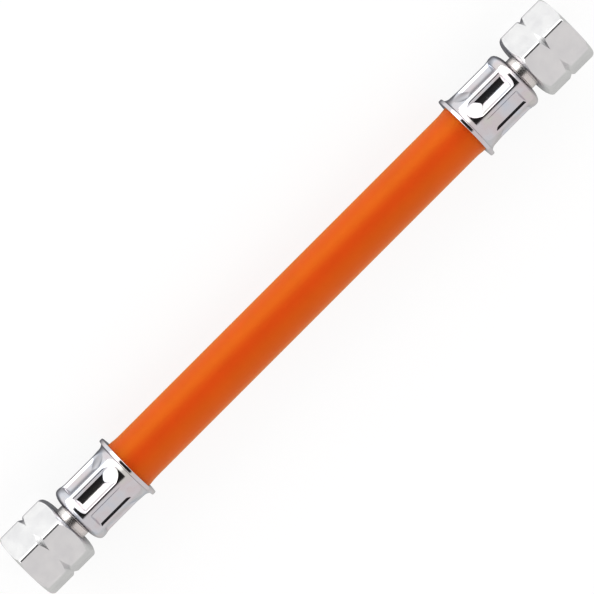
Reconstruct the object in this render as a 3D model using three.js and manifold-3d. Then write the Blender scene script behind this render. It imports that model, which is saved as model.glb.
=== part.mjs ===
// A flexible gas hose: an orange rubber hose that ends, on both sides, in a crimped ferrule, a barbed
// nipple and a swivelling union nut with a left-hand thread.
// Millimetres, +Z up. The hose runs along X, its middle is over the origin, and it lies on z = 0.
import * as THREE from 'three';
import { mergeVertices } from 'three/addons/utils/BufferGeometryUtils.js';
import Module from 'manifold-3d';

// The hose. Its bore and wall are those of standard gas hose.
const hoseBore = 6.3;
const hoseWall = 3.5;
const hoseFreeLength = 113.2; // between the mouths of the two ferrules
const hoseSwell = 0.2; // the squeezed rubber stands out this much just before a ferrule
const swellLength = 5;

// The ferrule, a cup drawn from sheet steel and pressed onto the hose between jaws.
const sheet = 1;
const ferruleLength = 18;
const mouthFlare = 0.45;
const flareLength = 3.5;
const lipWidth = 0.75; // the lip stands out this much from the flared mouth
const lipThickness = 0.9;
const lipEdge = 0.25;
const shoulderLength = 2.1; // the rounding from the sleeve to the end wall
const endFaceWidth = 0.55;

// The marks of the jaws: a waist, and in it a ring of pockets with ridges between them.
const jawCount = 8;
const jawTurn = 15.5; // degrees from the top to the middle of the first pocket
const waistDepth = 0.25;
const waistEase = 2.6;
const pocketFromMouth = 4.4;
const pocketToShoulder = 1.4;
const pocketDepth = 0.45;
const pocketWall = 0.5; // length of the slope at each end of a pocket
const pocketHalfAngle = 15; // degrees, across the floor of a pocket
const pocketWallAngle = 4.5; // degrees, the slope at each side of a pocket

// The nipple, turned from steel: a barbed tail, a groove that grips the ferrule, a neck and a cone.
const nippleBore = 4.5;
const barbGrip = 0.7; // the barbs are this much wider than the bore of the hose
const barbDepth = 0.4;
const barbCount = 5;
const barbSlope = 0.8; // the share of each barb that rises
const tailInset = 1; // the tip of the tail lies this far inside the ferrule
const neckDiameter = 9; // the collar inside the ferrule is as wide
const collarLength = 1;
const grooveDepth = 0.5;
const headLength = 1.3;
const noseDiameter = 6.2;
const coneHalfAngle = 30; // degrees
const nippleEdge = 0.2;

// The union nut, for a G 1/4 thread cut left-handed. The helix itself is left out here.
const acrossFlats = 17;
const nutLength = 15;
const bareNeck = 1.7; // between the ferrule and the nut
const threadMajor = 13.157;
const threadMinor = 11.445;
const threadClear = 0.12; // the run-out groove and the mouth are this much wider than the thread
const runOutLength = 1.8;
const backWall = 3;
const backFaceDiameter = 12.8;
const backRounding = 2.9;
const frontFaceDiameter = 16;
const frontRounding = 2.2;
const roundingOver = 0.3; // both roundings are struck from this far outside the corners
const notchDiameter = 17.3; // the V-notch round the middle, which only reaches the corners
const notchHalfAngle = 40; // degrees

// Clearances
const pressGap = 0.2; // between the hose, the ferrule and the nipple
const runGap = 0.25; // between the nipple and the nut that turns on it

// Faces round each piece
const columnsPerJaw = 6;
const sleeveFaces = jawCount * columnsPerJaw;
const lipFaces = 24;
const nippleFaces = 24;
const nutFaces = 48;

const degrees = Math.PI / 180;
const jawPitch = (2 * Math.PI) / jawCount;
const columnPitch = jawPitch / columnsPerJaw;

const hoseRadius = hoseBore / 2 + hoseWall;
const mouthAt = hoseFreeLength / 2;
const sleeveInner = hoseRadius + pressGap;
const sleeveOuter = sleeveInner + sheet;
const lipRadius = sleeveOuter + mouthFlare + lipWidth;
const shoulderStart = ferruleLength - shoulderLength;
const endWall = ferruleLength - sheet;
const pocketEnd = shoulderStart - pocketToShoulder;
const neckRadius = neckDiameter / 2;
const grooveRadius = neckRadius - grooveDepth;
const barbRadius = (hoseBore + barbGrip) / 2;
const collarStart = endWall - pressGap - collarLength;
const nutStart = ferruleLength + bareNeck;
const headRadius = threadMinor / 2 - runGap;
const axisHeight = lipRadius; // each lip lies on one of its facets

const library = await Module();
library.setup();

// A closed profile of [distance from the middle of the hose, radius] turned round the X axis, with a
// facet at the top. Side -1 gives the mirror image on the other end.
function turned(profile, faces, side = 1) {
  const points = profile.map(([along, radius]) => new THREE.Vector2(radius, along * side));
  if (side < 0) points.reverse();
  points.push(points[0].clone());
  return new THREE.LatheGeometry(points, faces, Math.PI / faces).rotateZ(-Math.PI / 2);
}

const shifted = (profile, by) => profile.map(([along, radius]) => [along + by, radius]);

// Points on a quarter of an ellipse, from where it runs along X to where it runs square to X.
function rounded([fromX, fromR], [toX, toR], steps) {
  return Array.from({ length: steps + 1 }, (_, i) => {
    const angle = (i / steps) * (Math.PI / 2);
    return [fromX + (toX - fromX) * Math.sin(angle), toR + (fromR - toR) * Math.cos(angle)];
  });
}

function solid(geometry) {
  const bare = geometry.clone();
  bare.deleteAttribute('normal');
  bare.deleteAttribute('uv');
  const { attributes, index } = mergeVertices(bare);
  const mesh = new library.Mesh({
    numProp: 3,
    vertProperties: attributes.position.array,
    triVerts: new Uint32Array(index.array),
  });
  return new library.Manifold(mesh);
}

function geometryOf(manifold) {
  const { vertProperties, triVerts } = manifold.getMesh();
  const geometry = new THREE.BufferGeometry();
  geometry.setAttribute('position', new THREE.BufferAttribute(vertProperties, 3));
  geometry.setIndex(new THREE.BufferAttribute(triVerts, 1));
  return geometry;
}

// Rises from 0 to 1 between two distances, whichever of them is the larger.
const ramp = (at, from, to) => Math.min(1, Math.max(0, (at - from) / (to - from)));

const jawStations = [
  pocketFromMouth - waistEase,
  pocketFromMouth,
  pocketFromMouth + pocketWall,
  pocketEnd - pocketWall,
  pocketEnd,
  shoulderStart,
];

// How deep the jaws press at a distance from the ferrule's mouth.
function pressedIn(along, inPocket) {
  const waist = ramp(along, pocketFromMouth - waistEase, pocketFromMouth) * ramp(along, shoulderStart, pocketEnd);
  const pocket = ramp(along, pocketFromMouth, pocketFromMouth + pocketWall)
    * ramp(along, pocketEnd, pocketEnd - pocketWall);
  return waistDepth * waist + (inPocket ? pocketDepth * pocket : 0);
}

// Presses the jaws' marks into everything outside a radius. Of the columns in each half of a jaw, all
// but the last lie on the floor of a pocket, and the last is the edge of a ridge.
function pressed(geometry, outsideOf) {
  const position = geometry.attributes.position;
  const floorColumns = columnsPerJaw / 2 - 1;
  for (let i = 0; i < position.count; i++) {
    const [x, y, z] = [position.getX(i), position.getY(i), position.getZ(i)];
    const jaw = Math.round(Math.atan2(y, z) / jawPitch);
    const within = Math.atan2(y, z) - jaw * jawPitch;
    const column = Math.round(Math.abs(within) / columnPitch - 0.5);
    const onFloor = column < floorColumns;
    const halfAngle = onFloor
      ? (pocketHalfAngle * (column + 0.5)) / (floorColumns - 0.5)
      : pocketHalfAngle + pocketWallAngle;
    const angle = jaw * jawPitch + Math.sign(within) * halfAngle * degrees;
    const radius = Math.hypot(y, z);
    const depth = radius > outsideOf ? pressedIn(Math.abs(x) - mouthAt, onFloor) : 0;
    position.setXYZ(i, x, (radius - depth) * Math.sin(angle), (radius - depth) * Math.cos(angle));
  }
  return geometry.rotateX(-jawTurn * degrees);
}

function hoseGeometry() {
  const swollen = [mouthAt - swellLength / 4, hoseRadius + hoseSwell];
  const outside = [
    [mouthAt - swellLength, hoseRadius],
    swollen,
    ...jawStations.slice(0, -1).map((along) => [mouthAt + along, hoseRadius]),
    [mouthAt + collarStart - pressGap, hoseRadius],
  ];
  const inside = [
    [mouthAt + collarStart - pressGap, barbRadius + pressGap],
    [mouthAt, barbRadius + pressGap],
    [mouthAt - swellLength, hoseBore / 2],
  ];
  const halfRound = [...outside, ...inside];
  const otherHalf = halfRound.map(([along, radius]) => [-along, radius]).reverse();
  return pressed(turned([...otherHalf, ...halfRound], sleeveFaces), (hoseRadius + barbRadius) / 2);
}

// The outside of the ferrule's sleeve before it is pressed.
const sleeveAt = (along) => sleeveOuter + mouthFlare * ramp(along, flareLength, 0);

function ferruleGeometry(side) {
  const holeRadius = grooveRadius + pressGap;
  const endFaceRadius = holeRadius + endFaceWidth;
  const stations = [0, ...jawStations.slice(0, -1)];
  const sleeve = [
    ...stations.map((along) => [along, sleeveAt(along)]),
    ...rounded([shoulderStart, sleeveOuter], [ferruleLength, endFaceRadius], 5),
    [ferruleLength, holeRadius],
    [endWall, holeRadius],
    ...rounded([shoulderStart, sleeveInner], [endWall, endFaceRadius], 3).reverse(),
    ...stations.reverse().map((along) => [along, sleeveAt(along) - sheet]),
  ];
  const lipInner = sleeveAt(0) - sheet / 2;
  const lipOuter = lipRadius / Math.cos(Math.PI / lipFaces);
  const lip = [
    [0, lipInner],
    [0, lipOuter - lipEdge],
    [lipEdge, lipOuter],
    [lipThickness - lipEdge, lipOuter],
    [lipThickness, lipOuter - lipEdge],
    [lipThickness, lipInner],
  ];
  const sleeveSolid = solid(pressed(turned(shifted(sleeve, mouthAt), sleeveFaces, side), 0));
  const lipSolid = solid(turned(shifted(lip, mouthAt), lipFaces, side));
  return geometryOf(sleeveSolid.add(lipSolid));
}

function nippleGeometry(side) {
  const bore = nippleBore / 2;
  const barbRoot = barbRadius - barbDepth;
  const noseRadius = noseDiameter / 2;
  const barbPitch = (collarStart - tailInset) / (barbCount + 1);
  const barbs = Array.from({ length: barbCount }, (_, i) => {
    const start = tailInset + barbPitch * (i + 0.5);
    return [[start, barbRoot], [start + barbPitch * barbSlope, barbRadius]];
  }).flat();
  const neckStart = ferruleLength + pressGap;
  const seat = nutStart + backWall + runGap;
  const headStart = seat + headRadius - neckRadius;
  const coneStart = headStart + headLength;
  const noseAt = coneStart + (headRadius - noseRadius) / Math.tan(coneHalfAngle * degrees);
  const profile = [
    [tailInset, bore],
    [tailInset, barbRoot - nippleEdge],
    ...barbs,
    [collarStart - barbPitch / 2, barbRoot],
    [collarStart, barbRoot],
    [collarStart, neckRadius],
    [collarStart + collarLength, neckRadius],
    [collarStart + collarLength, grooveRadius],
    [neckStart, grooveRadius],
    [neckStart, neckRadius - nippleEdge],
    [neckStart + nippleEdge, neckRadius],
    [seat, neckRadius],
    [headStart, headRadius],
    [coneStart, headRadius],
    [noseAt, noseRadius],
    [noseAt, bore + nippleEdge],
    [noseAt - nippleEdge, bore],
  ];
  return turned(shifted(profile, mouthAt), nippleFaces, side);
}

function nutGeometry(side) {
  const corner = acrossFlats / Math.sqrt(3);
  const rim = corner + roundingOver;
  const notchRadius = notchDiameter / 2;
  const notchHalfWidth = (rim - notchRadius) * Math.tan(notchHalfAngle * degrees);
  const middle = nutLength / 2;
  const neckHole = neckRadius + runGap;
  const thread = threadMinor / 2;
  const runOut = threadMajor / 2 + threadClear;
  const seatEnd = backWall + headRadius - neckRadius;
  const runOutEnd = seatEnd + runOutLength;
  const profile = [
    ...rounded([backRounding, rim], [0, backFaceDiameter / 2], 5).reverse(),
    [middle - notchHalfWidth, rim],
    [middle, notchRadius],
    [middle + notchHalfWidth, rim],
    ...rounded([nutLength - frontRounding, rim], [nutLength, frontFaceDiameter / 2], 4),
    [nutLength, runOut],
    [nutLength + thread - runOut, thread],
    [runOutEnd + runOut - thread, thread],
    [runOutEnd, runOut],
    [seatEnd, runOut],
    [seatEnd, headRadius + runGap],
    [backWall, neckHole],
    [0, neckHole],
  ];
  const nutAt = mouthAt + nutStart;
  const hexagon = new THREE.CylinderGeometry(corner, corner, nutLength, 6, 1, false, Math.PI / 6)
    .rotateZ(-Math.PI / 2)
    .translate(side * (nutAt + middle), 0, 0);
  return geometryOf(solid(turned(shifted(profile, nutAt), nutFaces, side)).intersect(solid(hexagon)));
}

const orangeRubber = new THREE.MeshStandardMaterial({ color: 0xde5e16, roughness: 0.6, metalness: 0 });
const brightZinc = new THREE.MeshStandardMaterial({ color: 0xdadade, roughness: 0.12, metalness: 1 });
const turnedSteel = new THREE.MeshStandardMaterial({ color: 0xbab2aa, roughness: 0.28, metalness: 1 });
const satinZinc = new THREE.MeshStandardMaterial({ color: 0xd2d2d3, roughness: 0.4, metalness: 1 });

const gasHose = new THREE.Group();
gasHose.name = 'flexible_gas_hose';
gasHose.position.z = axisHeight;

function addPiece(name, geometry, material) {
  const piece = new THREE.Mesh(geometry, material.clone());
  piece.name = name;
  gasHose.add(piece);
}

addPiece('hose', hoseGeometry(), orangeRubber);
for (const [end, side] of [['a', -1], ['b', 1]]) {
  addPiece(`ferrule_${end}`, ferruleGeometry(side), brightZinc);
  addPiece(`nipple_${end}`, nippleGeometry(side), turnedSteel);
  addPiece(`union_nut_${end}`, nutGeometry(side), satinZinc);
}

export default gasHose;
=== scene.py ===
import math

import bmesh
import bpy
from mathutils import Matrix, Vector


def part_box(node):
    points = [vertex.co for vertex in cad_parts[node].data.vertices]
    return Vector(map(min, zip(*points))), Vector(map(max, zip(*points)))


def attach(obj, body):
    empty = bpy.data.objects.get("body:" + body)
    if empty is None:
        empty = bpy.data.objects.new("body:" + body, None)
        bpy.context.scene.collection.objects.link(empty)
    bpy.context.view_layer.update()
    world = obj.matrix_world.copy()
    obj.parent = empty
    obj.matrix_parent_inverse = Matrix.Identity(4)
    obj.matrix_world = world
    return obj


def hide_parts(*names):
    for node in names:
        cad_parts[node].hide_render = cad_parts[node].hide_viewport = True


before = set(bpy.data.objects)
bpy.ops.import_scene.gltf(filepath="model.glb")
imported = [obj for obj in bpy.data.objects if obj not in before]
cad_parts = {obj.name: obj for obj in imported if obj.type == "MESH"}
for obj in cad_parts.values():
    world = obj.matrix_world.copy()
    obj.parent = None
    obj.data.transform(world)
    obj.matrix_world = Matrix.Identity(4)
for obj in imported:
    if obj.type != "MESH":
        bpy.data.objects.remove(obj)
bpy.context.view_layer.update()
mm = 0.001
weldDistance = 0.001 * mm

# Where the solids lie: both ends are alike, so the +X end gives the places along the hose
hoseLow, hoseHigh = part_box("hose")
ferruleLow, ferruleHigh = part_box("ferrule_b")
nippleLow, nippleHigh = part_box("nipple_b")
nutLow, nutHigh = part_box("union_nut_b")
axisHeight = (hoseLow.z + hoseHigh.z) / 2
mouthAt = ferruleLow.x
ferruleEnd = ferruleHigh.x
nutBack = nutLow.x
nutFront = nutHigh.x
print("frame loaded, the ferrules' mouths lie", round(mouthAt / mm, 2), "mm from the middle")

# The camera looks down at the middle, a little from -Y, and is rolled so that the hose runs corner to corner
camera = {
    "distance": 1200 * mm,
    "tilt": 17.6,  # degrees from straight down, towards -Y
    "roll": 135,
    "lens": 305.3,
    "sensor": 36,
    "nearest": 50 * mm,
    "farthest": 20,
}


def addCamera():
    data = bpy.data.cameras.new("studioCamera")
    data.lens = camera["lens"]
    data.sensor_width = camera["sensor"]
    data.clip_start = camera["nearest"]
    data.clip_end = camera["farthest"]
    eye = bpy.data.objects.new("studioCamera", data)
    tilt = Matrix.Rotation(math.radians(camera["tilt"]), 4, "X")
    roll = Matrix.Rotation(math.radians(camera["roll"]), 4, "Z")
    back = Matrix.Translation((0, 0, camera["distance"]))
    eye.matrix_world = Matrix.Translation((0, 0, axisHeight)) @ tilt @ roll @ back
    bpy.context.scene.collection.objects.link(eye)
    bpy.context.scene.camera = eye


addCamera()
print("camera set")


def deselectAll():
    for item in bpy.context.selected_objects:
        item.select_set(False)


def pick(piece):
    deselectAll()
    piece.select_set(True)
    bpy.context.view_layer.objects.active = piece


def edit(piece, kind="VERT"):
    pick(piece)
    bpy.ops.object.mode_set(mode="EDIT")
    bpy.ops.mesh.select_mode(type=kind)
    bpy.ops.mesh.select_all(action="SELECT")


def stopEditing():
    bpy.ops.object.mode_set(mode="OBJECT")


def addModifier(piece, kind, **settings):
    pick(piece)
    modifier = piece.modifiers.new(kind.lower(), kind)
    for key, value in settings.items():
        setattr(modifier, key, value)
    bpy.ops.object.modifier_apply(modifier=modifier.name)


def turnRound(piece):
    # Half a turn about the upright through the middle brings a piece from the +X end to the other one
    edit(piece)
    bpy.ops.transform.rotate(value=math.pi, orient_axis="Z", center_override=(0, 0, 0))
    stopEditing()


def drawOutline(name, corners):
    # One vertex, extruded from corner to corner and back to the first; the piece stays in edit mode
    deselectAll()
    bpy.ops.mesh.primitive_plane_add(size=1 * mm, location=corners[0])
    piece = bpy.context.object
    piece.name = name
    bpy.ops.object.transform_apply(location=True, rotation=True, scale=True)
    edit(piece)
    bpy.ops.mesh.merge(type="CENTER")
    for here, there in zip(corners, corners[1:] + corners[:1]):
        step = [b - a for a, b in zip(here, there)]
        bpy.ops.mesh.extrude_vertices_move(TRANSFORM_OT_translate={"value": step})
    bpy.ops.mesh.select_all(action="SELECT")
    bpy.ops.mesh.remove_doubles(threshold=weldDistance)
    return piece


def turnPiece(name, profile, side, steps, startAngle=0.0):
    # A closed outline of [distance outwards, radius], spun round the hose's axis
    sideways, up = math.sin(math.radians(startAngle)), math.cos(math.radians(startAngle))
    corners = [(side * along, radius * sideways, axisHeight + radius * up) for along, radius in profile]
    piece = drawOutline(name, corners)
    bpy.ops.mesh.spin(
        steps=steps, angle=2 * math.pi, center=(0, 0, axisHeight), axis=(1, 0, 0), use_auto_merge=True)
    bpy.ops.mesh.select_all(action="SELECT")
    bpy.ops.mesh.remove_doubles(threshold=weldDistance)
    bpy.ops.mesh.normals_make_consistent(inside=False)
    stopEditing()
    return piece


def quarterRound(start, end, steps):
    # From where the line runs along the hose to where it runs square to it
    points = []
    for i in range(steps + 1):
        angle = i / steps * math.pi / 2
        along = start[0] + (end[0] - start[0]) * math.sin(angle)
        points.append([along, end[1] + (start[1] - end[1]) * math.cos(angle)])
    return points


def finishPiece(piece, body, node, material, smoothAngle):
    pick(piece)
    bpy.ops.object.shade_smooth_by_angle(angle=math.radians(smoothAngle))
    piece.data.materials.clear()
    piece.data.materials.append(material)
    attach(piece, body)
    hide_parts(node)


# Materials
def linear(hexColour):
    channels = [int(hexColour[i:i + 2], 16) / 255 for i in (1, 3, 5)]
    return [c / 12.92 if c <= 0.04045 else ((c + 0.055) / 1.055) ** 2.4 for c in channels] + [1.0]


def addNode(tree, kind, settings=None, links=None):
    # settings are properties, sockets' values or a ramp's stops; links are socket: (node, output)
    node = tree.nodes.new(kind)
    for key, value in (settings or {}).items():
        if key == "stops":
            points = node.color_ramp.elements
            while len(points) < len(value):
                points.new(0.5)
            for point, (place, colour) in zip(points, value):
                point.position = place
                point.color = linear(colour)
        elif isinstance(key, int) or key in node.inputs:
            node.inputs[key].default_value = value
        else:
            setattr(node, key, value)
    for key, (source, output) in (links or {}).items():
        tree.links.new(source.outputs[output], node.inputs[key])
    return node


def newMaterial(name):
    material = bpy.data.materials.new(name)
    material.use_nodes = True
    material.node_tree.nodes.clear()
    return material, material.node_tree


# In the finishes, sizes are in mm, and a relief is its strength and its height
rubber = {
    "mottle": [(0.3, "#C63810"), (0.7, "#CC3A11")],
    "mottleSize": 9,
    "gloss": "#FFFF30",
    "roughness": (0.38, 0.5),
    "ior": 1.5,
    "sheen": 0.35,
    "sheenRoughness": 0.5,
    "sheenTint": "#FFF038",
    "grainSize": 0.35,
    "grainRelief": (0.25, 0.02),
    "lineSpacing": 0.6,  # between the faint lines that the extruder leaves
    "lineStretch": 50,
    "lineRelief": (0.3, 0.04),
}


def extrudedRubber():
    # Extruded rubber: half matt, evenly coloured, with faint lines along the hose and a soft warm sheen
    material, tree = newMaterial("extrudedRubber")
    place = addNode(tree, "ShaderNodeTexCoord")
    mottle = addNode(
        tree, "ShaderNodeTexNoise", {"Scale": 1 / (rubber["mottleSize"] * mm), "Detail": 3.0},
        {"Vector": (place, "Object")})
    colour = addNode(tree, "ShaderNodeValToRGB", {"stops": rubber["mottle"]}, {"Fac": (mottle, "Fac")})
    grain = addNode(
        tree, "ShaderNodeTexNoise", {"Scale": 1 / (rubber["grainSize"] * mm), "Detail": 4.0},
        {"Vector": (place, "Object")})
    stretch = addNode(
        tree, "ShaderNodeMapping", {"Scale": (1 / rubber["lineStretch"], 1.0, 1.0)},
        {"Vector": (place, "Object")})
    lines = addNode(
        tree, "ShaderNodeTexNoise", {"Scale": 1 / (rubber["lineSpacing"] * mm), "Detail": 2.0},
        {"Vector": (stretch, "Vector")})
    least, most = rubber["roughness"]
    roughness = addNode(
        tree, "ShaderNodeMapRange", {"To Min": least, "To Max": most}, {"Value": (grain, "Fac")})
    strength, height = rubber["grainRelief"]
    fine = addNode(
        tree, "ShaderNodeBump", {"Strength": strength, "Distance": height * mm}, {"Height": (grain, "Fac")})
    strength, height = rubber["lineRelief"]
    relief = addNode(
        tree, "ShaderNodeBump", {"Strength": strength, "Distance": height * mm},
        {"Height": (lines, "Fac"), "Normal": (fine, "Normal")})
    shader = addNode(tree, "ShaderNodeBsdfPrincipled", {
        "IOR": rubber["ior"], "Specular Tint": linear(rubber["gloss"]), "Sheen Weight": rubber["sheen"],
        "Sheen Roughness": rubber["sheenRoughness"], "Sheen Tint": linear(rubber["sheenTint"])}, {
        "Base Color": (colour, "Color"), "Roughness": (roughness, "Result"), "Normal": (relief, "Normal")})
    addNode(tree, "ShaderNodeOutputMaterial", links={"Surface": (shader, "BSDF")})
    return material


# Bright zinc plate on drawn sheet steel: mirror-like, with a faint blue, pink and yellow bloom
brightPlate = {
    "tints": [(0.3, "#CBD0DA"), (0.45, "#D3D2D6"), (0.58, "#D3CBCE"), (0.72, "#D2D1CC")],
    "tintSize": 5,
    "tintDetail": 2.0,
    "markSize": 0.9,
    "markDetail": 3.0,
    "markScale": (1.0, 1.0, 1.0),
    "roughness": (0.07, 0.14),
    "glossFollows": "marks",
    "relief": (0.2, 0.04),
}

# Zinc-plated turned steel: rings from the tool, a warm, slightly uneven grey
turnedPlate = {
    "tints": [(0.3, "#DCD5D6"), (0.5, "#E0DAD6"), (0.7, "#D9D8D6")],
    "tintSize": 3,
    "tintDetail": 2.0,
    "markSize": 0.16,  # from one turning mark to the next
    "markDetail": 2.0,
    "markScale": (1.0, 0.03, 0.03),
    "roughness": (0.22, 0.34),
    "glossFollows": "marks",
    "relief": (0.35, 0.02),
}

# Satin zinc plate on machined steel: soft reflections, faint clouds and a fine grain
satinPlate = {
    "tints": [(0.35, "#DCDCDD"), (0.65, "#E3E3E3")],
    "tintSize": 3.5,
    "tintDetail": 4.0,
    "markSize": 0.25,
    "markDetail": 3.0,
    "markScale": (1.0, 1.0, 1.0),
    "roughness": (0.2, 0.28),
    "glossFollows": "tints",
    "relief": (0.12, 0.01),
}


def platedMetal(name, plate):
    # The colour drifts between the tints, and the marks give the relief
    material, tree = newMaterial(name)
    place = addNode(tree, "ShaderNodeTexCoord")
    tints = addNode(
        tree, "ShaderNodeTexNoise", {"Scale": 1 / (plate["tintSize"] * mm), "Detail": plate["tintDetail"]},
        {"Vector": (place, "Object")})
    colour = addNode(tree, "ShaderNodeValToRGB", {"stops": plate["tints"]}, {"Fac": (tints, "Fac")})
    spread = addNode(tree, "ShaderNodeMapping", {"Scale": plate["markScale"]}, {"Vector": (place, "Object")})
    marks = addNode(
        tree, "ShaderNodeTexNoise", {"Scale": 1 / (plate["markSize"] * mm), "Detail": plate["markDetail"]},
        {"Vector": (spread, "Vector")})
    uneven = marks if plate["glossFollows"] == "marks" else tints
    least, most = plate["roughness"]
    roughness = addNode(
        tree, "ShaderNodeMapRange", {"To Min": least, "To Max": most}, {"Value": (uneven, "Fac")})
    strength, height = plate["relief"]
    relief = addNode(
        tree, "ShaderNodeBump", {"Strength": strength, "Distance": height * mm}, {"Height": (marks, "Fac")})
    shader = addNode(tree, "ShaderNodeBsdfPrincipled", {"Metallic": 1.0}, {
        "Base Color": (colour, "Color"), "Roughness": (roughness, "Result"), "Normal": (relief, "Normal")})
    addNode(tree, "ShaderNodeOutputMaterial", links={"Surface": (shader, "BSDF")})
    return material


hoseRubber = extrudedRubber()
ferrulePlate = platedMetal("brightZinc", brightPlate)
nipplePlate = platedMetal("turnedSteel", turnedPlate)
nutPlate = platedMetal("satinZinc", satinPlate)
print("materials made")

hose = {
    "radius": 6.65 * mm,
    "bore": 3.15 * mm,
    "ringEvery": 4 * mm,
    "swell": 0.22 * mm,  # the rubber bulges this much where a ferrule squeezes it
    "swellLength": 1.8 * mm,
    "swellFade": 1.4,
    "swellFrom": 4.5 * mm,  # in front of the mouth
    "swellRings": 10,
    "squeezed": [(1.2, 6.85), (2.6, 6.2), (4.4, 5.4)],  # mm behind the mouth and radius, clear of the pockets
    "tailRoom": 3.7 * mm,
    "boreTaper": 5 * mm,
    "faces": 96,
    "smoothAngle": 35,
}


def makeHose():
    half = hoseHigh.x
    straight = mouthAt - hose["swellFrom"]
    rings = int(straight // hose["ringEvery"])
    outside = [[i * straight / rings, hose["radius"]] for i in range(rings)]
    for i in range(hose["swellRings"] + 1):
        ahead = hose["swellFrom"] * (1 - i / hose["swellRings"])
        bulge = hose["swell"] * math.exp(-hose["swellFade"] * (ahead / hose["swellLength"]) ** 2)
        outside.append([mouthAt - ahead, hose["radius"] + bulge])
    outside += [[mouthAt + along * mm, radius * mm] for along, radius in hose["squeezed"]]
    outside.append([half, outside[-1][1]])
    inside = [[half, hose["tailRoom"]], [mouthAt, hose["tailRoom"]]]
    inside.append([mouthAt - hose["boreTaper"], hose["bore"]])
    left = [[-along, radius] for along, radius in outside[:0:-1]]
    innerLeft = [[-along, radius] for along, radius in inside[::-1]]
    piece = turnPiece("gasHose", left + outside + inside + innerLeft, 1, hose["faces"])
    finishPiece(piece, "hose_assembly", "hose", hoseRubber, hose["smoothAngle"])


makeHose()
print("hose made")

ferrule = {
    "front": [(0.15, 7.08), (0, 7.25), (0, 7.8)],  # mm behind the mouth and radius, up the lip's front
    "lipThickness": 1.02 * mm,
    "lipEdge": 0.17 * mm,
    "lipSteps": 2,
    "lipRadius": (ferruleHigh.z - ferruleLow.z) / 2,
    "flare": [(1.15, 8.2), (1.45, 8), (1.8, 7.83), (2.1, 7.74)],  # the same, before the jaws' marks
    "ridgeRadius": 7.63 * mm,
    "rampLength": 2 * mm,
    "rampRise": 0.06 * mm,
    "riseStart": 13.7 * mm,  # from here the sleeve widens again, up to the shoulder
    "riseEnd": 16 * mm,
    "shoulderStart": 16.35 * mm,
    "shoulderRadius": 7.87 * mm,
    "shoulderSteps": 8,
    "innerSteps": 3,
    "endFace": 4.75 * mm,
    "hole": 4.2 * mm,
    "holeEdge": 0.12 * mm,
    "sheet": 1 * mm,
    "smoothAngle": 60,
}

# The eight jaws of the press each leave a mark: a ramp from the mouth, a dished floor, steep walls along
# both sides, and at the far end a short wall up to a sloping shelf
jaw = {
    "count": 8,
    "columns": 32,  # of faces, for each jaw
    "first": 15.5,  # degrees from the top to the middle of the first mark
    "halfAngle": 19.69,
    "floorHalfAngle": 14.5,
    "start": 2.45 * mm,
    "end": 15.9 * mm,
    "wallDepth": 0.62 * mm,
    "floorDepth": 1.1 * mm,
    "ramp": 4.3 * mm,
    "shelf": 1.1 * mm,
    "shelfDepth": 0.3 * mm,
    "endWall": 0.5 * mm,
    "mouthRoundings": (4 * mm, 0.5 * mm),  # of the outline, where the mark begins and on its floor
    "endRoundings": (1.3 * mm, 0.3 * mm),
    "rows": 0.22 * mm,  # between the rows of faces at both ends of the marks
    "rowsBeforeShelf": 1.5 * mm,
    "rowsPastEnd": 0.2 * mm,
    "floorSteps": 4,
}


def jawDepth(along, angle):
    # How deep a mark is, so far behind the mouth and so many degrees to the side of its middle line
    half, floorHalf = jaw["halfAngle"], jaw["floorHalfAngle"]
    if angle >= half:
        return 0
    if angle > floorHalf:
        across = jaw["wallDepth"] * ((half - angle) / (half - floorHalf)) ** 2
    else:
        across = jaw["floorDepth"] - (jaw["floorDepth"] - jaw["wallDepth"]) * (angle / floorHalf) ** 2
    bend = 1 - math.sqrt(1 - (angle / half) ** 2)
    edge, floor = jaw["mouthRoundings"]
    ramp = jaw["floorDepth"] * (along - jaw["start"] - edge * bend) / (jaw["ramp"] - (edge - floor) * bend)
    edge, floor = jaw["endRoundings"]
    shelf = jaw["shelfDepth"] * (jaw["end"] - edge * bend - along) / jaw["shelf"]
    rest = jaw["end"] - jaw["shelf"] - floor * bend - along
    wall = jaw["shelfDepth"] + (jaw["floorDepth"] - jaw["shelfDepth"]) * rest / jaw["endWall"]
    return max(0, min(across, ramp, max(shelf, wall)))


def jawRows():
    # Rows of faces lie close together at both ends of the marks, and far apart along their floors
    start, steps = jaw["start"], jaw["floorSteps"]
    frontLength = jaw["ramp"] + 2 * jaw["rows"]
    backLength = jaw["rowsBeforeShelf"] + jaw["shelf"] + jaw["rowsPastEnd"]
    floorEnd = jaw["end"] - jaw["shelf"] - jaw["rowsBeforeShelf"]
    front = [start + i * jaw["rows"] for i in range(int(frontLength / jaw["rows"]) + 1)]
    floor = [front[-1] + (floorEnd - front[-1]) * i / steps for i in range(1, steps)]
    back = [floorEnd + i * jaw["rows"] for i in range(int(backLength / jaw["rows"]) + 1)]
    return front + floor + back


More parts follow.
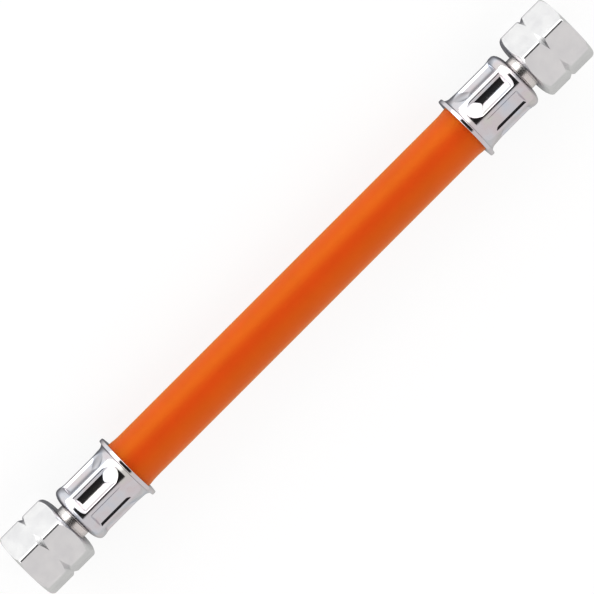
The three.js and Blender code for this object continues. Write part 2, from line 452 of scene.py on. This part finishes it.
def ferruleProfile():
    size = ferrule
    ridge, sheet = size["ridgeRadius"], size["sheet"]
    thick, lip, edge = size["lipThickness"], size["lipRadius"], size["lipEdge"]
    length = ferruleEnd - mouthAt
    front = [[along * mm, radius * mm] for along, radius in size["front"]] + [[0, lip - 1.5 * edge]]
    rim = quarterRound([edge, lip], [0, lip - edge], size["lipSteps"])[::-1] + [[thick / 2, lip]]
    rim += quarterRound([thick - edge, lip], [thick, lip - edge], size["lipSteps"])
    back = [[thick, lip - 2 * edge], [thick, lip - 3 * edge]]
    flare = [[along * mm, radius * mm] for along, radius in size["flare"]]
    waist = []
    for row in jawRows():
        rest = max(0, 1 - (row - jaw["start"]) / size["rampLength"])
        rise = min(1, max(0, (row - size["riseStart"]) / (size["riseEnd"] - size["riseStart"])))
        radius = ridge + size["rampRise"] * rest ** 2
        radius += (size["shoulderRadius"] - ridge) * (3 * rise ** 2 - 2 * rise ** 3)
        waist.append([row, radius])
    outerStart = [size["shoulderStart"], size["shoulderRadius"]]
    shoulder = quarterRound(outerStart, [length, size["endFace"]], size["shoulderSteps"])
    outside = front + rim + back + flare + waist + shoulder
    hole = [[length, size["hole"] + size["holeEdge"]], [length - size["holeEdge"], size["hole"]]]
    hole.append([length - sheet, size["hole"]])
    innerStart = [size["shoulderStart"], size["shoulderRadius"] - sheet]
    innerShoulder = quarterRound(innerStart, [length - sheet, size["endFace"]], size["innerSteps"])
    inner = [[along, radius - sheet] for along, radius in flare[1:] + waist[::3]]  # fewer rows will do inside
    inside = (inner + innerShoulder)[::-1]
    return [[mouthAt + along, radius] for along, radius in outside + hole + inside]


def makeFerrule(name, side, node):
    pitch = 360 / jaw["count"]
    piece = turnPiece(name, ferruleProfile(), side, jaw["count"] * jaw["columns"], jaw["first"])
    pressed = piece.vertex_groups.new(name="pressed")  # each point's depth, as a share of the deepest
    for point in piece.data.vertices:
        angle = math.degrees(math.atan2(point.co.y, point.co.z - axisHeight)) - jaw["first"]
        depth = jawDepth(abs(point.co.x) - mouthAt, abs((angle + pitch / 2) % pitch - pitch / 2))
        pressed.add([point.index], depth / jaw["floorDepth"], "REPLACE")
    deselectAll()
    bpy.ops.object.empty_add(location=(0, 0, axisHeight), rotation=(0, math.pi / 2, 0))
    axis = bpy.context.object
    addModifier(  # draws the sheet in, both its sides together, towards a hair-thin cylinder on the axis
        piece, "CAST", cast_type="CYLINDER", object=axis, use_transform=True, use_z=False,
        use_radius_as_size=False, size=0.01 * mm, factor=jaw["floorDepth"] / ferrule["ridgeRadius"],
        vertex_group="pressed")
    bpy.data.objects.remove(axis)
    piece.vertex_groups.clear()
    addModifier(piece, "SUBSURF", levels=1, render_levels=1)
    finishPiece(piece, "hose_assembly", node, ferrulePlate, ferrule["smoothAngle"])


makeFerrule("ferruleA", -1, "ferrule_a")
makeFerrule("ferruleB", 1, "ferrule_b")
print("ferrules made")

nipple = {
    "bore": 2.25 * mm,
    "neck": 4.5 * mm,
    "neckEdge": 0.12 * mm,
    "neckGap": 0.05 * mm,  # between the ferrule's end wall and the neck's shoulder
    "groove": 4.0 * mm,
    "grooveWidth": 1.2 * mm,
    "barb": 3.5 * mm,
    "barbDepth": 0.4 * mm,
    "barbCrest": (0.78, 0.82),  # share of a barb's length where its flat top starts and ends
    "barbs": 5,
    "collar": 1 * mm,
    "head": 5.4725 * mm,
    "headLength": 1.3 * mm,
    "nose": 3.1 * mm,
    "seatInNut": 3.25 * mm,
    "edge": 0.2 * mm,
    "faces": 96,
    "smoothAngle": 30,
}


def nippleProfile():
    size = nipple
    edge, neck = size["edge"], size["neck"]
    tip, nose = nippleLow.x, nippleHigh.x
    root = size["barb"] - size["barbDepth"]
    collarEnd = ferruleEnd - size["grooveWidth"]
    collarStart = collarEnd - size["collar"]
    pitch = (collarStart - tip) / (size["barbs"] + 1)
    tail = [[tip, size["bore"]], [tip, root - edge]]
    for i in range(size["barbs"]):
        start = tip + pitch * (i + 0.5)
        tail += [[start, root]] + [[start + share * pitch, size["barb"]] for share in size["barbCrest"]]
    neckStart = ferruleEnd + size["neckGap"]
    groove = [[collarStart, root], [collarStart, neck], [collarEnd, neck]]
    groove += [[collarEnd, size["groove"]], [neckStart, size["groove"]]]
    seat = nutBack + size["seatInNut"]
    coneStart = seat + size["head"] - neck
    coneEnd = coneStart + size["headLength"]
    shaft = [[neckStart, neck - size["neckEdge"]], [neckStart + size["neckEdge"], neck], [seat, neck]]
    head = [[coneStart, size["head"]], [coneEnd - edge / 2, size["head"]]]
    head.append([coneEnd + edge / 2, size["head"] - edge / 3])
    end = [[nose - edge / 2, size["nose"] + edge / 3], [nose, size["nose"] - edge / 2]]
    end += [[nose, size["bore"] + edge], [nose - edge, size["bore"]]]
    return tail + groove + shaft + head + end


def makeNipple(name, side, node):
    piece = turnPiece(name, nippleProfile(), side, nipple["faces"])
    finishPiece(piece, "hose_assembly", node, nipplePlate, nipple["smoothAngle"])


makeNipple("nippleA", -1, "nipple_a")
makeNipple("nippleB", 1, "nipple_b")
print("nipples made")

unionNut = {
    "acrossFlats": nutHigh.z - nutLow.z,
    "overCorners": 0.3 * mm,  # the end roundings are struck from this far outside the corners
    "backFace": 6.4 * mm,
    "backRounding": 2.9 * mm,
    "backSteps": 9,
    "frontFace": 8.0 * mm,
    "frontRounding": 2.2 * mm,
    "frontSteps": 8,
    "notch": 8.65 * mm,
    "notchHalfAngle": 40,  # degrees
    "neckHole": 4.75 * mm,
    "holeEdge": 0.2 * mm,
    "backWall": 3 * mm,
    "seat": 0.9725 * mm,
    "headRoom": 5.7225 * mm,
    "runOut": 6.6985 * mm,
    "runOutLength": 1.8 * mm,
    "threadMinor": 5.7225 * mm,
    "threadMajor": 6.5785 * mm,
    "pitch": 1.337 * mm,
    "flankAngle": 27.5,
    "grooveHalfWidth": 0.12 * mm,  # at the bottom of the thread's groove
    "cutterReach": 0.12 * mm,  # how far the cutter stands into the bore
    "cutterStart": 0.6 * mm,  # behind the seat
    "stepsPerTurn": 72,
    "cornerBevel": 0.52 * mm,
    "cornerSteps": 8,
    "faces": 144,
    "smoothAngle": 30,
}


def nutProfile():
    size = unionNut
    length = nutFront - nutBack
    middle = length / 2
    rim = size["acrossFlats"] / math.sqrt(3) + size["overCorners"]
    halfNotch = (rim - size["notch"]) * math.tan(math.radians(size["notchHalfAngle"]))
    back = quarterRound([size["backRounding"], rim], [0, size["backFace"]], size["backSteps"])[::-1]
    notch = [[middle - halfNotch, rim], [middle, size["notch"]], [middle + halfNotch, rim]]
    frontStart = [length - size["frontRounding"], rim]
    front = quarterRound(frontStart, [length, size["frontFace"]], size["frontSteps"])
    mouthDepth = size["runOut"] - size["threadMinor"]
    seatEnd = size["backWall"] + size["seat"]
    runOutEnd = seatEnd + size["runOutLength"]
    inside = [
        [length, size["runOut"]],
        [length - mouthDepth, size["threadMinor"]],
        [runOutEnd + mouthDepth, size["threadMinor"]],
        [runOutEnd, size["runOut"]],
        [seatEnd, size["runOut"]],
        [seatEnd, size["headRoom"]],
        [size["backWall"], size["neckHole"]],
        [size["holeEdge"], size["neckHole"]],
        [0, size["neckHole"] + size["holeEdge"]],
    ]
    return [[nutBack + along, radius] for along, radius in back + notch + front + inside]


def addHexBar():
    # The bar that the nuts are made of, its six long edges rounded
    length = 2 * (nutFront - nutBack)
    deselectAll()
    bpy.ops.mesh.primitive_cylinder_add(
        vertices=6, radius=unionNut["acrossFlats"] / math.sqrt(3), depth=length,
        location=((nutBack + nutFront) / 2, 0, axisHeight), rotation=(0, math.pi / 2, 0))
    bar = bpy.context.object
    bpy.ops.object.transform_apply(location=True, rotation=True, scale=True)
    edit(bar, "EDGE")
    shape = bmesh.from_edit_mesh(bar.data)
    for line in shape.edges:
        line.select_set(abs(line.verts[0].co.x - line.verts[1].co.x) > length / 2)
    bmesh.update_edit_mesh(bar.data)
    bpy.ops.mesh.bevel(offset=unionNut["cornerBevel"], segments=unionNut["cornerSteps"], affect="EDGES")
    stopEditing()
    return bar


def addThreadCutter():
    # The thread's groove as a solid: its section, wound left-handed from the seat to beyond the mouth
    size = unionNut
    start = nutBack + size["backWall"] + size["seat"] + size["cutterStart"]
    turns = math.ceil((nutFront + size["pitch"] - start) / size["pitch"])
    inner, outer = size["threadMinor"] - size["cutterReach"], size["threadMajor"]
    narrow = size["grooveHalfWidth"]
    wide = narrow + (outer - inner) * math.tan(math.radians(size["flankAngle"]))
    cutter = drawOutline(
        "threadCutter", [(-wide, 0, inner), (-narrow, 0, outer), (narrow, 0, outer), (wide, 0, inner)])
    bpy.ops.mesh.edge_face_add()
    stopEditing()
    addModifier(
        cutter, "SCREW", axis="X", angle=-2 * math.pi, screw_offset=size["pitch"], iterations=turns,
        steps=size["stepsPerTurn"], render_steps=size["stepsPerTurn"], use_merge_vertices=True,
        merge_threshold=weldDistance)
    edit(cutter)
    bpy.ops.mesh.normals_make_consistent(inside=False)
    bpy.ops.transform.translate(value=(start, 0, axisHeight))
    stopEditing()
    return cutter


def makeNut(name, side, node, body):
    # The blank is turned, the bar gives it its flats, and the thread is cut last; the first face starts half
    # a step round, so that no edge of the blank falls on a corner of the bar
    piece = turnPiece(name, nutProfile(), side, unionNut["faces"], 180 / unionNut["faces"])
    for tool, operation in ((addHexBar(), "INTERSECT"), (addThreadCutter(), "DIFFERENCE")):
        if side < 0:
            turnRound(tool)  # turned and not mirrored, so that both threads stay left-handed
        addModifier(piece, "BOOLEAN", operation=operation, object=tool, solver="EXACT")
        bpy.data.objects.remove(tool)
    finishPiece(piece, body, node, nutPlate, unionNut["smoothAngle"])


makeNut("unionNutA", -1, "union_nut_a", "nut_a")
makeNut("unionNutB", 1, "union_nut_b", "nut_b")
print("union nuts made")

studio = {
    "light": 3.0,
    "left": "#FFFFFF",  # the lit side, towards -Y, at the horizon and high up
    "leftTop": "#B4B4B4",
    "right": "#929090",
    "panelBlend": 0.01,
    "gapFrom": -29.5,  # degrees across the hose, counted from the camera
    "gapTo": 20,
    "gapSoftness": 4,
    "gapTilt": 0.42,  # how far the gap reaches along the hose, as a sine
    "gapTiltSoftness": 0.03,
    "gapDarkness": 0.98,
    "fill": 0.8,  # a broad soft lamp from the right that the metal doesn't mirror
    "fillTilt": 50,  # degrees from straight above, towards +Y
    "fillWidth": 60,
    "floorSize": 4,
    "paper": "#E7E7E7",
    "paperGlow": 1.05,
    "paperGlowShare": 0.8,
    # how strongly the painted light and shade glows from the floor in reflections
    "paintedGlow": 1.1,
    # beyond the nuts' fronts the painted greys are lifted to at least this
    "paintedGreyBeyondEnds": "#D0D0CE",
    "floorReach": 30 * mm,  # the metal sees the floor's painted light and shade as far as this on both sides
    "shadeEnds": (-2 * mm, 4 * mm),  # where the painted shade ends, counted from the nuts' fronts
    # painted light and shade for the metal's reflections: share of the way across, from -Y to +Y, and grey;
    # white on the lit -Y side, a painted shadow band under and beside the hose, paler painted shade on the +Y
    # side
    "paintedFloorLightAndShade": [
        (0, "#FFFFFF"), (0.16, "#F8F8F8"), (0.27, "#B0B0B2"), (0.34, "#6E6E72"),
        (0.6, "#686868"), (0.72, "#BBBBBA"), (1, "#D8D8D6")],
}


def addRoom():
    # Two big soft panels with a dark gap between them where the camera stands, which the metal mirrors
    world = bpy.data.worlds.new("studioWorld")
    bpy.context.scene.world = world
    world.use_nodes = True
    tree = world.node_tree
    tree.nodes.clear()
    tilt = math.radians(camera["tilt"])
    sideways = (0, math.cos(tilt), math.sin(tilt))
    upwards = (0, -math.sin(tilt), math.cos(tilt))
    place = addNode(tree, "ShaderNodeTexCoord")
    across, up = [
        addNode(tree, "ShaderNodeVectorMath", {"operation": "DOT_PRODUCT", 1: way}, {0: (place, "Generated")})
        for way in (sideways, upwards)]
    along = addNode(tree, "ShaderNodeSeparateXYZ", links={0: (place, "Generated")})
    angle = addNode(
        tree, "ShaderNodeMath", {"operation": "ARCTAN2"}, {0: (across, "Value"), 1: (up, "Value")})
    turn = addNode(  # once round the hose's axis, from 0 to 1
        tree, "ShaderNodeMapRange", {"From Min": -math.pi, "From Max": math.pi}, {"Value": (angle, "Value")})
    low, high = (0.5 + studio[key] / 360 for key in ("gapFrom", "gapTo"))
    middle = (low + high) / 2
    horizon = 0.5 - (90 - camera["tilt"]) / 360
    panels = addNode(tree, "ShaderNodeValToRGB", {"stops": [
        (horizon, studio["left"]), (middle - studio["panelBlend"], studio["leftTop"]),
        (middle + studio["panelBlend"], studio["right"])]}, {"Fac": (turn, "Result")})
    soft = studio["gapSoftness"] / 720
    gap = addNode(tree, "ShaderNodeValToRGB", {"stops": [
        (low - soft, "#000000"), (low + soft, "#FFFFFF"),
        (high - soft, "#FFFFFF"), (high + soft, "#000000")]}, {"Fac": (turn, "Result")})
    reach = addNode(tree, "ShaderNodeMath", {"operation": "ABSOLUTE"}, {0: (along, "X")})
    gapEnd, soft = studio["gapTilt"], studio["gapTiltSoftness"]
    near = addNode(tree, "ShaderNodeMapRange", {
        "From Min": gapEnd - soft, "From Max": gapEnd + soft, "To Min": studio["gapDarkness"], "To Max": 0.0},
        {"Value": (reach, "Value")})
    dark = addNode(
        tree, "ShaderNodeMath", {"operation": "MULTIPLY"}, {0: (gap, "Color"), 1: (near, "Result")})
    lit = addNode(tree, "ShaderNodeMath", {"operation": "SUBTRACT", 0: 1.0}, {1: (dark, "Value")})
    room = addNode(
        tree, "ShaderNodeVectorMath", {"operation": "SCALE"}, {0: (panels, "Color"), "Scale": (lit, "Value")})
    glow = addNode(tree, "ShaderNodeBackground", {"Strength": studio["light"]}, {"Color": (room, "Vector")})
    white = addNode(tree, "ShaderNodeBackground", {"Color": linear("#FFFFFF")})
    paths = addNode(tree, "ShaderNodeLightPath")
    both = addNode(tree, "ShaderNodeMixShader", links={
        0: (paths, "Is Camera Ray"), 1: (glow, "Background"), 2: (white, "Background")})
    addNode(tree, "ShaderNodeOutputWorld", links={"Surface": (both, "Shader")})


def addFill():
    deselectAll()
    bpy.ops.object.light_add(type="SUN", rotation=(-math.radians(studio["fillTilt"]), 0, 0))
    lamp = bpy.context.object
    lamp.name = "fillLight"
    lamp.data.energy = studio["fill"]
    lamp.data.angle = math.radians(studio["fillWidth"])
    lamp.visible_glossy = False


def paperWithPaintedLightAndShade():
    # White paper: matt and nearly shadowless to the camera; to glossy rays it is no paper but a glowing sheet
    # of painted light and shade, which the metal mirrors
    material, tree = newMaterial("paperWithPaintedLightAndShade")
    paths = addNode(tree, "ShaderNodeLightPath")
    paper = addNode(tree, "ShaderNodeBsdfDiffuse", {"Color": linear(studio["paper"])})
    glow = addNode(
        tree, "ShaderNodeEmission", {"Color": linear("#FFFFFF"), "Strength": studio["paperGlow"]})
    seen = addNode(
        tree, "ShaderNodeMath", {"operation": "MULTIPLY", 1: studio["paperGlowShare"]},
        {0: (paths, "Is Camera Ray")})
    lit = addNode(
        tree, "ShaderNodeMixShader", links={0: (seen, 0), 1: (paper, "BSDF"), 2: (glow, "Emission")})
    place = addNode(tree, "ShaderNodeTexCoord")
    spot = addNode(tree, "ShaderNodeSeparateXYZ", links={0: (place, "Object")})
    along = addNode(tree, "ShaderNodeMath", {"operation": "ABSOLUTE"}, {0: (spot, "X")})
    first, last = studio["shadeEnds"]
    beyond = addNode(  # beyond the ends of the hose the painted shade gives way to painted light
        tree, "ShaderNodeMapRange", {"From Min": nutFront + first, "From Max": nutFront + last},
        {"Value": (along, 0)})
    across = addNode(
        tree, "ShaderNodeMapRange", {"From Min": -studio["floorReach"], "From Max": studio["floorReach"]},
        {"Value": (spot, "Y")})
    # painted shadow band along the hose, painted light on the -Y side
    paintedGreys = addNode(tree, "ShaderNodeValToRGB", {"stops": studio["paintedFloorLightAndShade"]}, {"Fac": (across, "Result")})
    paler = addNode(
        tree, "ShaderNodeVectorMath", {"operation": "MAXIMUM", 1: linear(studio["paintedGreyBeyondEnds"])[:3]},
        {0: (paintedGreys, "Color")})
    # the painted light and shade glow, near the hose and beyond its ends
    near, far = [
        addNode(tree, "ShaderNodeEmission", {"Strength": studio["paintedGlow"]}, {"Color": colour})
        for colour in ((paintedGreys, "Color"), (paler, "Vector"))]
    mirrored = addNode(
        tree, "ShaderNodeMixShader", links={0: (beyond, 0), 1: (near, "Emission"), 2: (far, "Emission")})
    # glossy rays see the glowing painted light and shade; all other rays see the paper
    both = addNode(tree, "ShaderNodeMixShader", links={
        0: (paths, "Is Glossy Ray"), 1: (lit, "Shader"), 2: (mirrored, "Shader")})
    addNode(tree, "ShaderNodeOutputMaterial", links={"Surface": (both, "Shader")})
    return material


def addFloor():
    deselectAll()
    bpy.ops.mesh.primitive_plane_add(size=studio["floorSize"], location=(0, 0, 0))
    floor = bpy.context.object
    floor.name = "floor"
    floor.data.materials.append(paperWithPaintedLightAndShade())


bpy.context.scene.view_settings.view_transform = "Standard"
addRoom()
addFill()
addFloor()
print("studio made")
